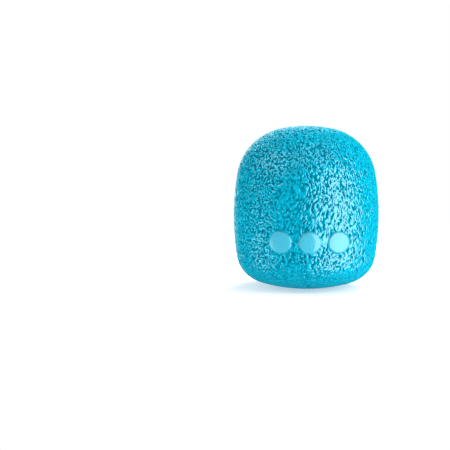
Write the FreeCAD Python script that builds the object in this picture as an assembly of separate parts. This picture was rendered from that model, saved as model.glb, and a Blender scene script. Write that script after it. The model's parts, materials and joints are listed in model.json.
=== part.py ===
import FreeCAD
import Part
import math
import os

# Hand grip strengthener: a solid gel barrel that is squeezed from front to back.
# Millimetres, +Z up the barrel. The origin is the centre of the foot, and the front looks along -Y.
# The barrel is one moulding. It is divided on the mould's parting plane, Y = 0, into a front half
# and a back half, because squeezing brings those two together.

# The barrel
barrel_diameter = 54.0
total_height = 60.2
widest_height = 26.5
foot_diameter = 12.0

# The arcs of its outline, from the crown to the foot, each tangent to the next
crown_radius = 51.0
shoulder_radius = 20.6
side_radius = 100.0
corner_radius = 11.5
base_radius = 60.7

# Three plain round marks that stand proud of the front
mark_count = 3
mark_diameter = 8.5
mark_pitch = 10.5
mark_height = 19.4
mark_proud = 0.5
mark_edge_radius = 0.2

# The stub of the gate that the gel was filled through, on the parting line
gate_diameter = 1.5
gate_height = 30.0
gate_proud = 0.3

# How far the gate's stub runs into the barrel that it is one with
root_depth = 2.0

origin = FreeCAD.Vector(0, 0, 0)
up = FreeCAD.Vector(0, 0, 1)


def meeting_point(first, first_reach, second, second_reach):
    """The outer of the two points at these distances from two centres in the XZ plane."""
    line = second - first
    gap = line.Length
    along = (first_reach**2 - second_reach**2 + gap**2) / (2 * gap)
    across = math.sqrt(first_reach**2 - along**2)
    foot_of_it = first + line * (along / gap)
    square_to_it = FreeCAD.Vector(-line.z, 0, line.x) * (across / gap)
    points = [foot_of_it + square_to_it, foot_of_it - square_to_it]
    return max(points, key=lambda point: point.x)


def arc(centre, radius, start, end):
    """The short way round from one point of a circle in the XZ plane to another."""
    middle = (start - centre) + (end - centre)
    middle.normalize()
    return Part.Arc(start, centre + middle * radius, end).toShape()


def beyond(centre, tangent_centre, radius):
    """The point where two tangent arcs meet, which lies in line with their centres."""
    direction = tangent_centre - centre
    direction.normalize()
    return centre + direction * radius


def barrel_outline(grown):
    """The closed half outline in the XZ plane, with every arc's radius grown by one amount."""
    foot_radius = foot_diameter / 2
    base_centre = FreeCAD.Vector(0, 0, math.sqrt(base_radius**2 - foot_radius**2))
    crown_centre = FreeCAD.Vector(0, 0, total_height - crown_radius)
    side_centre = FreeCAD.Vector(barrel_diameter / 2 - side_radius, 0, widest_height)
    corner_centre = meeting_point(
        base_centre, base_radius - corner_radius, side_centre, side_radius - corner_radius
    )
    shoulder_centre = meeting_point(
        crown_centre, crown_radius - shoulder_radius, side_centre, side_radius - shoulder_radius
    )

    foot_edge = FreeCAD.Vector(0, 0, 0)
    foot_edge.x = math.sqrt((base_radius + grown)**2 - base_centre.z**2)
    base_end = beyond(base_centre, corner_centre, base_radius + grown)
    corner_end = beyond(side_centre, corner_centre, side_radius + grown)
    side_end = beyond(side_centre, shoulder_centre, side_radius + grown)
    shoulder_end = beyond(crown_centre, shoulder_centre, crown_radius + grown)
    top = FreeCAD.Vector(0, 0, total_height + grown)

    edges = [
        Part.LineSegment(origin, foot_edge).toShape(),
        arc(base_centre, base_radius + grown, foot_edge, base_end),
        arc(corner_centre, corner_radius + grown, base_end, corner_end),
        arc(side_centre, side_radius + grown, corner_end, side_end),
        arc(shoulder_centre, shoulder_radius + grown, side_end, shoulder_end),
        arc(crown_centre, crown_radius + grown, shoulder_end, top),
        Part.LineSegment(top, origin).toShape(),
    ]
    return Part.Face(Part.Wire(edges))


def half_barrel(side, grown=0.0):
    """Half of the turned barrel: side is 1 for the back, +Y, and -1 for the front."""
    return barrel_outline(grown).revolve(origin, up, 180 * side)


def gate_stub(side):
    """One half of the gate's stub, at +X, from inside the barrel to just proud of it."""
    side_centre_x = barrel_diameter / 2 - side_radius
    rise = gate_height - widest_height
    surface_x = side_centre_x + math.sqrt(side_radius**2 - rise**2)
    start = FreeCAD.Vector(surface_x - root_depth, 0, gate_height)
    length = root_depth + gate_proud
    along = FreeCAD.Vector(1, 0, 0)
    edge = FreeCAD.Vector(0, 0, gate_diameter / 2)
    straight = Part.LineSegment(start - edge, start + edge).toShape()
    bulge = FreeCAD.Vector(0, side * gate_diameter / 2, 0)
    curve = Part.Arc(start + edge, start + bulge, start - edge).toShape()
    return Part.Face(Part.Wire([straight, curve])).extrude(along * length)


def front_marks():
    """The round marks: columns from the parting plane to a surface that lies proud of the barrel."""
    proud_surface = half_barrel(-1, mark_proud)
    marks = []
    for index in range(mark_count):
        across = (index - (mark_count - 1) / 2) * mark_pitch
        start = FreeCAD.Vector(across, -barrel_diameter, mark_height)
        column = Part.makeCylinder(
            mark_diameter / 2, barrel_diameter, start, FreeCAD.Vector(0, 1, 0)
        )
        marks.append(rounded_mark(proud_surface.common(column)))
    return marks


def rounded_mark(mark):
    """Rounds the mark's outer rim, which is its edge that reaches furthest to the front."""
    rims = [edge for edge in mark.Edges if edge.Length > mark_diameter]
    outer_rim = min(rims, key=lambda edge: edge.CenterOfMass.y)
    return mark.makeFillet(mark_edge_radius, [outer_rim])


def back_half():
    return half_barrel(1).fuse(gate_stub(1)).removeSplitter()


def front_half():
    pieces = [gate_stub(-1)] + front_marks()
    return half_barrel(-1).multiFuse(pieces).removeSplitter()


os.makedirs("parts", exist_ok=True)
nodes = {"front_half": front_half(), "back_half": back_half()}
for name, shape in nodes.items():
    shape.exportStep("parts/" + name + ".step")
    print(name, "solids", len(shape.Solids), "volume", round(shape.Volume), "valid", shape.isValid())
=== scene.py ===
import json
import math

import bmesh
import bpy
import numpy as np
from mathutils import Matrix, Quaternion, Vector


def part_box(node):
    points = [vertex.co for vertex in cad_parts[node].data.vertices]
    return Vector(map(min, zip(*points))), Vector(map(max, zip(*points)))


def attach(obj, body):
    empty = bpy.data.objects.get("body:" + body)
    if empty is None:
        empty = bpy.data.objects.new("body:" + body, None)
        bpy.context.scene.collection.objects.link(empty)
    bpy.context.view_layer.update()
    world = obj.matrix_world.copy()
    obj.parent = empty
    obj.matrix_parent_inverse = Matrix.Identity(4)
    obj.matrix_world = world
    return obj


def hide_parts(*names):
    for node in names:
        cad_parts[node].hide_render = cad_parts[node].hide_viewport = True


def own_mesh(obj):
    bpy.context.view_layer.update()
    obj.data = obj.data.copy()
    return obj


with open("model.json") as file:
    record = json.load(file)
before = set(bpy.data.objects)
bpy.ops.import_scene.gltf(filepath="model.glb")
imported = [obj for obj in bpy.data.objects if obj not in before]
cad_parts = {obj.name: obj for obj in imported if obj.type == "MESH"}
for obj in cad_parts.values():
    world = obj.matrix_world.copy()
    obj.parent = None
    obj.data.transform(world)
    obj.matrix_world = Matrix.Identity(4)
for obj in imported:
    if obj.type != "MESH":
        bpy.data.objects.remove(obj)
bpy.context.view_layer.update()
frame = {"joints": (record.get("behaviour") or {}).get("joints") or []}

print("stage: frame loaded")

mm = 0.001


# a socket that does its own maths, so that an expression on it adds its Math nodes
class Value:
    def __init__(self, graph, out):
        self.graph = graph
        self.out = out

    def op(self, operation, *values):
        inputs = dict(enumerate((self,) + values))
        return self.graph.add("ShaderNodeMath", {"operation": operation}, inputs)

    def reflected(self, operation, first):
        return self.graph.add("ShaderNodeMath", {"operation": operation}, {0: first, 1: self})

    def __add__(self, other):
        return self.op("ADD", other)

    def __sub__(self, other):
        return self.op("SUBTRACT", other)

    def __mul__(self, other):
        return self.op("MULTIPLY", other)

    def __truediv__(self, other):
        return self.op("DIVIDE", other)

    def __rsub__(self, other):
        return self.reflected("SUBTRACT", other)

    def __rtruediv__(self, other):
        return self.reflected("DIVIDE", other)

    __radd__ = __add__
    __rmul__ = __mul__

    def clamp(self):
        return self.op("MAXIMUM", 0.0).op("MINIMUM", 1.0)

    # 0 below low, 1 above high, and an eased rise between them
    def rise(self, low, high):
        settings = {"interpolation_type": "SMOOTHSTEP"}
        return self.graph.add("ShaderNodeMapRange", settings, {0: self, 1: low, 2: high})


# a node tree, which takes every node in the same way: its type, its settings, its sockets
class Graph:
    def __init__(self, tree):
        self.tree = tree

    def add(self, kind, settings=None, inputs=None, output=0):
        node = self.tree.nodes.new(kind)
        for name, value in (settings or {}).items():
            setattr(node, name, value)
        for key, value in (inputs or {}).items():
            if isinstance(value, Value):
                self.tree.links.new(value.out, node.inputs[key])
            else:
                node.inputs[key].default_value = value
        return Value(self, node.outputs[output]) if node.outputs else None

    # all the outputs of the node that a value comes from, by their names
    def outputs(self, value):
        return {socket.name: Value(self, socket) for socket in value.out.node.outputs}

    def vector(self, x, y, z):
        return self.add("ShaderNodeCombineXYZ", {}, {0: x, 1: y, 2: z})

    def vectorMath(self, operation, first, second):
        return self.add("ShaderNodeVectorMath", {"operation": operation}, {0: first, 1: second})

    def dot(self, first, second):
        settings = {"operation": "DOT_PRODUCT"}
        return self.add("ShaderNodeVectorMath", settings, {0: first, 1: tuple(second)}, output=1)

    def scaled(self, vector, amount):
        settings = {"operation": "SCALE"}
        return self.add("ShaderNodeVectorMath", settings, {0: vector, "Scale": amount})

    def split(self, vector):
        parts = self.add("ShaderNodeSeparateXYZ", {}, {0: vector})
        return list(self.outputs(parts).values())

    # smooth noise from 0 to 1, with features of the given size; output 1 is the same in colour
    def noise(self, point, size, output=0):
        inputs = {"Vector": point, "Scale": 1 / size, "Detail": 0.0}
        return self.add("ShaderNodeTexNoise", {}, inputs, output)

    # the point moved by up to amount each way, by noise of the given size
    def wander(self, point, size, amount):
        middle = (0.5, 0.5, 0.5)
        aside = self.vectorMath("SUBTRACT", self.noise(point, size, output=1), middle)
        return self.vectorMath("ADD", point, self.scaled(aside, amount * 2))

    # rounded cells of the given size: 1 on their tops, falling away to the creases between them
    def domes(self, point, size, fall):
        away = self.add("ShaderNodeTexVoronoi", {}, {"Vector": point, "Scale": 1 / size})
        return 1 - away * away * fall

    # a Mix node takes its two colours at sockets 6 and 7, and gives their mixture at output 2
    def mixColour(self, share, low, high):
        inputs = {0: share, 6: low, 7: high}
        return self.add("ShaderNodeMix", {"data_type": "RGBA"}, inputs, output=2)


# the graph of a material's or a world's nodes, emptied of those that it starts with
def emptyGraph(owner):
    owner.use_nodes = True
    owner.node_tree.nodes.clear()
    return Graph(owner.node_tree)


def addObject(name, data):
    added = bpy.data.objects.new(name, data)
    bpy.context.scene.collection.objects.link(added)
    return added


# the barrel's outline: the same arcs as the solid's, in millimetres
barrel = {
    "radius": -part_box("front_half")[0][0] / mm,
    "height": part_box("front_half")[1][2] / mm,
    "footRadius": 6.0,
    "widestHeight": 26.5,
    "crownRadius": 51.0,
    "shoulderRadius": 20.6,
    "sideRadius": 100.0,
    "cornerRadius": 11.5,
    "baseRadius": 60.7,
    "icosphereLevel": 6,
    "cutsPerEdge": 2,
    "outlineStep": 0.01,
}
barrelMiddle = Vector((0, 0, barrel["height"] * mm / 2))


# the outer of the two points at these distances from two centres
def meetingPoint(first, firstReach, second, secondReach):
    line = second - first
    gap = np.hypot(*line)
    along = (firstReach**2 - secondReach**2 + gap**2) / (2 * gap)
    across = math.sqrt(firstReach**2 - along**2)
    square = np.array([-line[1], line[0]]) / gap
    points = [first + line / gap * along + square * across * side for side in (1, -1)]
    return max(points, key=lambda point: point[0])


# the angle of the line from one point to another
def heading(start, end):
    return math.atan2(end[1] - start[1], end[0] - start[0])


# points of the outline from the foot's centre to the crown, as radii and heights
def barrelOutline():
    baseCentre = np.array([0, math.sqrt(barrel["baseRadius"]**2 - barrel["footRadius"]**2)])
    crownCentre = np.array([0, barrel["height"] - barrel["crownRadius"]])
    sideCentre = np.array([barrel["radius"] - barrel["sideRadius"], barrel["widestHeight"]])
    cornerCentre = meetingPoint(
        baseCentre, barrel["baseRadius"] - barrel["cornerRadius"],
        sideCentre, barrel["sideRadius"] - barrel["cornerRadius"],
    )
    shoulderCentre = meetingPoint(
        crownCentre, barrel["crownRadius"] - barrel["shoulderRadius"],
        sideCentre, barrel["sideRadius"] - barrel["shoulderRadius"],
    )

    footAngle = -math.pi / 2 + math.asin(barrel["footRadius"] / barrel["baseRadius"])
    baseToCorner = heading(baseCentre, cornerCentre)
    cornerToSide = heading(sideCentre, cornerCentre)
    sideToShoulder = heading(sideCentre, shoulderCentre)
    shoulderToCrown = heading(crownCentre, shoulderCentre)
    arcs = [
        (baseCentre, barrel["baseRadius"], footAngle, baseToCorner),
        (cornerCentre, barrel["cornerRadius"], baseToCorner, cornerToSide),
        (sideCentre, barrel["sideRadius"], cornerToSide, sideToShoulder),
        (shoulderCentre, barrel["shoulderRadius"], sideToShoulder, shoulderToCrown),
        (crownCentre, barrel["crownRadius"], shoulderToCrown, math.pi / 2),
    ]

    footSteps = round(barrel["footRadius"] / barrel["outlineStep"])
    stretches = [np.linspace((0, 0), (barrel["footRadius"], 0), footSteps)[:-1]]
    for centre, radius, start, end in arcs:
        steps = round((end - start) * radius / barrel["outlineStep"])
        angles = np.linspace(start, end, steps)[:-1]
        stretches.append(centre + radius * np.column_stack((np.cos(angles), np.sin(angles))))
    stretches.append([(0, barrel["height"])])
    return np.vstack(stretches)


# an even grid: a sphere's triangles, moved to the barrel so that each keeps its share of the area
def barrelGrid():
    grid = bmesh.new()
    bmesh.ops.create_icosphere(grid, subdivisions=barrel["icosphereLevel"], radius=1)
    cuts = barrel["cutsPerEdge"]
    bmesh.ops.subdivide_edges(grid, edges=grid.edges, cuts=cuts, use_grid_fill=True)
    bmesh.ops.triangulate(grid, faces=grid.faces)
    directions = np.array([vertex.co for vertex in grid.verts])
    directions /= np.linalg.norm(directions, axis=1)[:, None]

    outline = barrelOutline()
    middles = (outline[1:, 0] + outline[:-1, 0]) / 2
    lengths = np.hypot(*np.diff(outline, axis=0).T)
    area = np.concatenate(([0], np.cumsum(middles * lengths)))
    share = (1 + directions[:, 2]) / 2
    radii = np.interp(share, area / area[-1], outline[:, 0])
    heights = np.interp(share, area / area[-1], outline[:, 1])
    around = np.arctan2(directions[:, 1], directions[:, 0])
    points = np.column_stack((radii * np.cos(around), radii * np.sin(around), heights))
    for vertex, point in zip(grid.verts, points):
        vertex.co = point * mm
    return grid


# three plain round marks that stand proud of the front, moulded in one with the skin
marks = {
    "count": 3,
    "radius": 4.25,
    "pitch": 10.5,
    "height": 19.4,
    "proud": 0.5,
    "rim": 0.8,  # the width of the slope round each mark
    "ring": 0.35,  # how far the skin stays smooth round it
    "ringLevel": 0.5,  # the ring's painted shade, from a groove's at 0 to a crest's at 1
    "domeReach": 2.4,  # how far in from its edge a mark still rises,
    "domeShare": 0.3,  # and by what share of its height
    "smoothness": 0.9,
    "frontFade": (-10.0, -5.0),
    "refinedBand": 0.5,
    "refinements": 2,
}
markPlaces = [
    ((index - (marks["count"] - 1) / 2) * marks["pitch"], marks["height"])
    for index in range(marks["count"])
]

# the short stub that the mould's inlet leaves on the side
stub = {
    "height": 30.0,
    "radius": 0.75,
    "rounding": (0.5, 1.1),  # shares of the radius between which its end rounds off
    "proud": 0.3,
    "refinedReach": 1.4,
}


# whether a point in millimetres lies by the stub or on the slope round a mark
def needsDetail(point, band, reach):
    if point.x > 0 and math.hypot(point.y, point.z - stub["height"]) < reach:
        return True
    if point.y > 0:
        return False
    for x, z in markPlaces:
        away = math.hypot(point.x - x, point.z - z)
        if abs(away - marks["radius"] + marks["rim"] / 2) < band:
            return True
    return False


# smaller triangles there, so that the stub and the marks come out round
def refineGrid(grid):
    for level in range(1, marks["refinements"] + 1):
        band = marks["refinedBand"] / level
        reach = stub["refinedReach"] / math.sqrt(level)
        near = []
        for edge in grid.edges:
            middle = (edge.verts[0].co + edge.verts[1].co) / 2 / mm
            if needsDetail(middle, band, reach):
                near.append(edge)
        bmesh.ops.subdivide_edges(grid, edges=near, cuts=1, use_grid_fill=True)
        bmesh.ops.triangulate(grid, faces=grid.faces)


# the pebbled skin, in millimetres: fine round pebbles, and longer ridges that run up the barrel;
# a fade, a rise or a radius in two values is where a change over the surface starts and ends
skin = {
    "pebbleSize": 0.75,
    "ridgeSize": 0.66,
    "ridgeStretch": 0.5,  # under 1 draws the ridges out along the outline
    "domeFall": 1.25,
    "warpSize": 3.2,  # small bends of the pebbles and the ridges
    "warpAmount": 0.8,
    "flowSize": 14.0,  # long bends of the ridges
    "flowAmount": 2.5,
    "ridgeSide": (0.8, -0.6),  # the side that has the ridges, as a direction
    "regionSize": 16.0,  # how uneven the edge of their region is
    "regionAmount": 0.8,
    "regionOffset": 0.55,
    "regionFade": (-0.1, 0.25),
    "ridgeRadius": (12.0, 18.0),  # there are none on the crown and round the foot
    "depth": 0.52,
    "lift": 0.17,  # how far the tops stand over the smooth barrel
    "padRise": (-0.1, 1.1),
    "crestRise": (0.3, 0.95),
    "narrowing": 0.10,  # the grooves' painted shade, and the bare strip without gloss, narrow to short pits on the ridges' side
    "narrowFade": (0.55, 0.92),
    "shadeLift": 0.6,  # how much of the grooves' painted shade is lifted near the bottom,
    "shadeLiftFade": (3.0, 15.0),
    "sideShadeLift": 0.45,  # and on the right, which paints both lighter
    "sideFade": (0.72, 0.95),
    "shadeLiftLevel": 0.95,
    "footRadius": (6.0, 9.0),  # the foot is smooth
    "footHeight": (4.0, 8.0),
}


# how much of a point a mark covers: 1 on its top and 0 off it, for a mark grown by wide
def markCover(graph, x, y, z, wide, rim):
    cover = 0.0
    for markX, markZ in markPlaces:
        away = ((x - markX) * (x - markX) + (z - markZ) * (z - markZ)).op("SQRT")
        here = 1 - away.rise(marks["radius"] - rim + wide, marks["radius"] + wide)
        cover = here + cover
    front = 1 - y.rise(*marks["frontFade"])
    return (cover * front).clamp()


# the stub's rounded end: 1 at its middle and 0 off it
def stubCover(graph, x, y, z):
    away = (y * y + (z - stub["height"]) * (z - stub["height"])).op("SQRT")
    start, end = stub["rounding"]
    here = 1 - away.rise(stub["radius"] * start, stub["radius"] * end)
    return here * x.op("GREATER_THAN", 0.0)


# cells round the barrel at one width, which are drawn out along its outline
def ridgeShape(graph, point):
    x, y, z = graph.split(graph.wander(point, skin["flowSize"], skin["flowAmount"]))
    r = (x * x + y * y).op("SQRT")
    aboveWidest = (z - barrel["widestHeight"]).op("SIGN")
    along = z + aboveWidest * (barrel["radius"] - r)
    ringed = graph.vector(
        x / r * barrel["radius"], y / r * barrel["radius"], along * skin["ridgeStretch"]
    )
    return graph.domes(ringed, skin["ridgeSize"], skin["domeFall"])


# the skin at a point of the smooth barrel, for the mesh, the bump and the colour alike: its height
# in millimetres, its painted shade from dark grooves to bright crests, and how much of it is a mark's
# top
def skinAt(graph, restPoint):
    point = graph.scaled(restPoint, 1 / mm)
    x, y, z = graph.split(point)
    r = (x * x + y * y).op("SQRT")

    warped = graph.wander(point, skin["warpSize"], skin["warpAmount"])
    pebbles = graph.domes(warped, skin["pebbleSize"], skin["domeFall"])
    ridges = ridgeShape(graph, warped)
    sideX, sideY = skin["ridgeSide"]
    sideways = (x * sideX + y * sideY) / barrel["radius"]
    region = graph.noise(point, skin["regionSize"]) * skin["regionAmount"]
    ridged = (sideways + region - skin["regionOffset"]).rise(*skin["regionFade"])
    ridged = ridged * r.rise(*skin["ridgeRadius"])
    shape = pebbles + (ridges - pebbles) * ridged

    # on the ridges' side the painted shade of the grooves narrows
    narrow = sideways.rise(*skin["narrowFade"]) * skin["narrowing"]
    crest = (shape + narrow).rise(*skin["crestRise"])
    # the grooves' painted shade is lifted near the bottom and on the right, which paints them lighter
    shadeLift = (1 - z.rise(*skin["shadeLiftFade"])) * skin["shadeLift"]
    shadeLift = shadeLift + (x / barrel["radius"]).rise(*skin["sideFade"]) * skin["sideShadeLift"]
    crest = crest + (skin["shadeLiftLevel"] - crest) * shadeLift.clamp()

    cover = markCover(graph, x, y, z, 0.0, marks["rim"])
    dome = markCover(graph, x, y, z, 0.0, marks["domeReach"])
    smooth = markCover(graph, x, y, z, marks["ring"], marks["rim"]) * marks["smoothness"]
    # the marks' tops take the crests' colour, and the ring round them a painted shade halfway to a
    # groove's
    markShade = cover + (1 - cover) * marks["ringLevel"]
    crest = crest + (markShade - crest) * smooth

    foot = (r.rise(*skin["footRadius"]) + z.rise(*skin["footHeight"])).clamp()
    end = stubCover(graph, x, y, z)
    pads = shape.rise(*skin["padRise"])
    relief = pads * skin["depth"] + (skin["lift"] - skin["depth"])
    relief = relief * (1 - smooth) * foot * (1 - end)
    raised = (cover * (1 - marks["domeShare"]) + dome * marks["domeShare"]) * marks["proud"]
    return relief + raised + end * stub["proud"], crest, cover


# raises the skin along the smooth barrel's normals, in the mesh itself
def raiseSkin(body):
    tree = bpy.data.node_groups.new("skinRelief", "GeometryNodeTree")
    for way in ("INPUT", "OUTPUT"):
        tree.interface.new_socket("Geometry", in_out=way, socket_type="NodeSocketGeometry")
    graph = Graph(tree)
    source = graph.add("NodeGroupInput")
    height = skinAt(graph, graph.add("GeometryNodeInputPosition"))[0]
    offset = graph.scaled(graph.add("GeometryNodeInputNormal"), height * mm)
    moved = graph.add("GeometryNodeSetPosition", {}, {"Geometry": source, "Offset": offset})
    graph.add("NodeGroupOutput", {}, {0: moved})
    modifier = body.modifiers.new("skinRelief", "NODES")
    modifier.node_group = tree
    evaluated = body.evaluated_get(bpy.context.evaluated_depsgraph_get())
    raised = bpy.data.meshes.new_from_object(evaluated)
    body.modifiers.clear()
    body.data = raised
    bpy.data.node_groups.remove(tree)


def gelBody():
    grid = barrelGrid()
    refineGrid(grid)
    mesh = bpy.data.meshes.new("gel_body")
    grid.to_mesh(mesh)
    grid.free()
    mesh.shade_smooth()
    # each point keeps its place on the smooth barrel, which the material reads
    rest = mesh.attributes.new("restPoint", "FLOAT_VECTOR", "POINT")
    points = np.zeros(len(mesh.vertices) * 3, np.float32)
    mesh.vertices.foreach_get("co", points)
    rest.data.foreach_set("vector", points)
    body = addObject("gel_body", mesh)
    print("stage: grid of", len(mesh.polygons), "triangles")
    raiseSkin(body)
    return body


# clear blue gel: light wanders inside it, and a thin gloss lies on its skin
gel = {
    "crestColour": (0.0, 0.47, 0.67, 1),
    # the grooves are painted darker than the crests: a painted shade in the creases
    "grooveShadeColour": (0.0, 0.20, 0.30, 1),
    # the marks are painted paler towards this colour: a painted sheen on their smooth tops
    "markSheenColour": (0.10, 0.44, 0.56, 1),
    "markSheenShare": 0.6,
    "roughness": 0.25,
    "markRoughness": 0.5,
    "subsurface": 0.35,
    "subsurfaceScale": 0.003,
    "subsurfaceRadius": (0.25, 0.8, 1.0),
    "ior": 1.48,
    "specular": 0.02,
    "glossRoughness": 0.05,
    "glossIor": 1.75,
    "glossRise": (0.3, 1.0),  # the gloss lies on the pebbles' tops,
    "footGloss": (0.2, 3.5),  # and is rubbed off under the foot
    "markGloss": 0.65,
    "bump": 0.85,
}


def gelMaterial():
    material = bpy.data.materials.new("clear_blue_gel")
    graph = emptyGraph(material)
    restPoint = graph.add("ShaderNodeAttribute", {"attribute_name": "restPoint"}, {}, output=1)
    height, crest, cover = skinAt(graph, restPoint)
    inputs = {"Strength": gel["bump"], "Distance": mm, "Height": height}
    bump = graph.add("ShaderNodeBump", {}, inputs)
    # painted shade: the grooves are darker than the crests
    skinColour = graph.mixColour(crest, gel["grooveShadeColour"], gel["crestColour"])
    footStart, footEnd = gel["footGloss"]
    offFoot = graph.split(restPoint)[2].rise(footStart * mm, footEnd * mm)
    gloss = crest.rise(*gel["glossRise"]) * offFoot
    inputs = {
        # the marks' tops are painted paler: a painted sheen
        "Base Color": graph.mixColour(cover * gel["markSheenShare"], skinColour, gel["markSheenColour"]),
        "Roughness": gel["roughness"] + cover * (gel["markRoughness"] - gel["roughness"]),
        "IOR": gel["ior"],
        "Specular IOR Level": gel["specular"],
        "Coat Weight": gloss * (1 - cover * (1 - gel["markGloss"])),
        "Coat Roughness": gel["glossRoughness"],
        "Coat IOR": gel["glossIor"],
        "Subsurface Weight": gel["subsurface"],
        "Subsurface Radius": gel["subsurfaceRadius"],
        "Subsurface Scale": gel["subsurfaceScale"],
        "Normal": bump,
    }
    shader = graph.add("ShaderNodeBsdfPrincipled", {"subsurface_method": "RANDOM_WALK"}, inputs)
    graph.add("ShaderNodeOutputMaterial", {}, {"Surface": shader})
    return material


gelPiece = gelBody()
gelPiece.data.materials.clear()
gelPiece.data.materials.append(gelMaterial())
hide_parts("front_half", "back_half")
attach(gelPiece, "finger_side")
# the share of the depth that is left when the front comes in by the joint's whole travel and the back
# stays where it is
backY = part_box("back_half")[1][1]
depth = backY + barrel["radius"] * mm
squeeze = frame["joints"][0]
keep = 1 - squeeze["range_m"][1] / depth
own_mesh(gelPiece)
print("stage: gel body of", len(gelPiece.data.polygons), "triangles")


# the photograph's view: where the barrel lies in its 450 pixels, from about half a metre away
cameraView = {
    "imageSize": 450,
    "left": 234.0,
    "right": 378.0,
    "top": 126.0,
    "bottom": 287.0,
    "elevation": 6.0,
    "distance": 0.55,
    "clipStart": 0.01,
}


def makeCamera(view):
    data = bpy.data.cameras.new("camera")
    camera = addObject("camera", data)
    tilt = math.radians(view["elevation"])
    back = Vector((0, -math.cos(tilt), math.sin(tilt)))
    up = Vector((0, math.sin(tilt), math.cos(tilt)))
    pixel = 2 * barrel["radius"] * mm / (view["right"] - view["left"])
    aside = (view["left"] + view["right"] - view["imageSize"]) / 2 * pixel
    above = (view["imageSize"] - view["top"] - view["bottom"]) / 2 * pixel
    target = barrelMiddle - Vector((aside, 0, 0)) - up * above
    camera.location = target + back * view["distance"]
    camera.rotation_euler = (-back).to_track_quat("-Z", "Y").to_euler()
    data.lens = data.sensor_width * view["distance"] / (view["imageSize"] * pixel)
    data.clip_start = view["clipStart"]
    bpy.context.scene.camera = camera


makeCamera(cameraView)
print("stage: camera set")

# soft lamps round the gel, which its gloss doesn't mirror
lights = {
    "distance": 0.75,
    "lamps": {
        "key": dict(azimuth=62.0, elevation=14.0, size=(0.5, 0.8), power=5.0),
        "side": dict(azimuth=-100.0, elevation=10.0, size=(0.3, 0.6), power=2.0),
        "back": dict(azimuth=145.0, elevation=58.0, size=(0.5, 0.5), power=8.0),
        "front": dict(azimuth=-12.0, elevation=4.0, size=(0.5, 0.3), power=1.0),
    },
}


# a direction from the gel: azimuth 0 is the front, and 90 the right
def towards(azimuth, elevation):
    a = math.radians(azimuth)
    e = math.radians(elevation)
    return Vector((math.sin(a) * math.cos(e), -math.cos(a) * math.cos(e), math.sin(e)))


def makeLamp(name, plan):
    data = bpy.data.lights.new(name, "AREA")
    data.shape = "RECTANGLE"
    data.size, data.size_y = plan["size"]
    data.energy = plan["power"]
    lamp = addObject(name, data)
    away = towards(plan["azimuth"], plan["elevation"])
    lamp.location = barrelMiddle + away * lights["distance"]
    lamp.rotation_euler = away.to_track_quat("Z", "Y").to_euler()
    lamp.visible_glossy = False


for name, plan in lights["lamps"].items():
    makeLamp(name, plan)

# an even room that shows white behind the gel, and what the gloss mirrors in its place: dim walls,
# a ceiling and bright panels
room = {
    "level": 0.55,
    "background": (1, 1, 1, 1),
    "backgroundLevel": 1.0,
    "wallLevel": 0.02,
    "ceilingLevel": 0.1,
    "ceilingFade": (0.3, 1.0),
    "panelEdge": 0.12,
    "leastAhead": 0.001,  # keeps a panel's division off zero
    "panels": {
        "right": dict(azimuth=46.0, elevation=-7.0, lean=18.0, across=0.62, upwards=0.75, level=4.2),
        "top": dict(azimuth=20.0, elevation=65.0, lean=0.0, across=0.4, upwards=0.35, level=1.2),
        "lowLeft": dict(azimuth=-80.0, elevation=-22.0, lean=0.0, across=0.24, upwards=0.24, level=3.0),
        "highLeft": dict(azimuth=-70.0, elevation=38.0, lean=0.0, across=0.45, upwards=0.3, level=2.7),
        "back": dict(azimuth=190.0, elevation=12.0, lean=0.0, across=0.35, upwards=0.5, level=1.3),
    },
}


# a panel's light from a direction: its level inside its reach, and nothing beyond its soft edge
def panelLevel(graph, direction, panel):
    axis = towards(panel["azimuth"], panel["elevation"])
    aside = Vector((-axis.y, axis.x, 0)).normalized()
    aside.rotate(Quaternion(axis, math.radians(panel["lean"])))
    above = axis.cross(aside)
    ahead = graph.dot(direction, axis)
    level = ahead.op("GREATER_THAN", 0.0) * panel["level"]
    for unit, reach in ((aside, panel["across"]), (above, panel["upwards"])):
        off = graph.dot(direction, unit) / ahead.op("MAXIMUM", room["leastAhead"])
        outside = off.op("ABSOLUTE").rise(reach - room["panelEdge"], reach + room["panelEdge"])
        level = level * (1 - outside)
    return level


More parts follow.
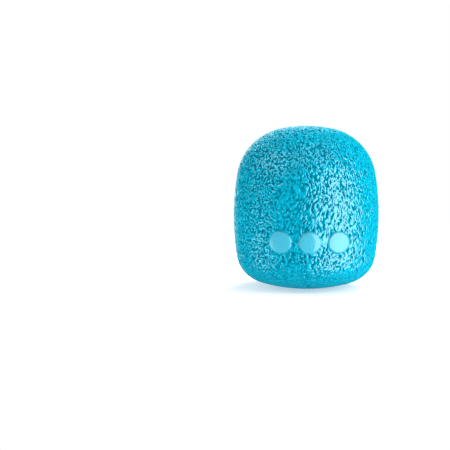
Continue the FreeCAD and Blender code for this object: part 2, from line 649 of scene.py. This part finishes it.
def makeWorld():
    world = bpy.data.worlds.new("room")
    bpy.context.scene.world = world
    graph = emptyGraph(world)
    ray = graph.outputs(graph.add("ShaderNodeLightPath"))
    direction = graph.outputs(graph.add("ShaderNodeTexCoord"))["Generated"]
    ceiling = graph.split(direction)[2].rise(*room["ceilingFade"])
    mirrored = ceiling * room["ceilingLevel"] + room["wallLevel"]
    for panel in room["panels"].values():
        mirrored = mirrored + panelLevel(graph, direction, panel)
    glossy = ray["Is Glossy Ray"]
    level = glossy * mirrored + (1 - glossy) * room["level"]
    shown = (ray["Is Camera Ray"] + ray["Is Transmission Ray"]).clamp()
    strength = shown * room["backgroundLevel"] + (1 - shown) * level
    inputs = {"Color": room["background"], "Strength": strength}
    back = graph.add("ShaderNodeBackground", {}, inputs)
    graph.add("ShaderNodeOutputWorld", {}, {"Surface": back})


makeWorld()

# a pale round floor with a faint glow, which fades into the white round it
floorPlan = {
    "radius": 0.26,
    "fadeStart": 0.1,
    "sides": 96,
    "colour": (0.85, 0.85, 0.85, 1),
    "glow": 0.42,
    "shade": 0.05,  # what the gloss finds right under the gel,
    "shadeFade": (0.027, 0.033),  # and beyond this it sees past the floor
}


def floorMaterial():
    material = bpy.data.materials.new("pale_floor")
    graph = emptyGraph(material)
    glossy = graph.outputs(graph.add("ShaderNodeLightPath"))["Is Glossy Ray"]
    place = graph.outputs(graph.add("ShaderNodeTexCoord"))["Object"]
    x, y = graph.split(place)[:2]
    away = (x * x + y * y).op("SQRT")
    fade = away.rise(floorPlan["fadeStart"], floorPlan["radius"])
    fade = fade + (1 - fade) * glossy * away.rise(*floorPlan["shadeFade"])
    matt = graph.add("ShaderNodeBsdfDiffuse", {}, {"Color": floorPlan["colour"]})
    glow = graph.add("ShaderNodeEmission", {}, {"Strength": floorPlan["glow"]})
    both = graph.add("ShaderNodeAddShader", {}, {0: matt, 1: glow})
    shade = graph.add("ShaderNodeEmission", {}, {"Strength": floorPlan["shade"]})
    seen = graph.add("ShaderNodeMixShader", {}, {0: glossy, 1: both, 2: shade})
    clear = graph.add("ShaderNodeBsdfTransparent")
    mixed = graph.add("ShaderNodeMixShader", {}, {0: fade, 1: seen, 2: clear})
    graph.add("ShaderNodeOutputMaterial", {}, {"Surface": mixed})
    return material


def makeFloor():
    grid = bmesh.new()
    radius = floorPlan["radius"]
    bmesh.ops.create_circle(grid, cap_ends=True, segments=floorPlan["sides"], radius=radius)
    mesh = bpy.data.meshes.new("floor")
    grid.to_mesh(mesh)
    grid.free()
    mesh.materials.append(floorMaterial())
    floor = addObject("floor", mesh)


makeFloor()

bpy.context.scene.view_settings.view_transform = "Standard"
print("stage: lamps, room and floor set")
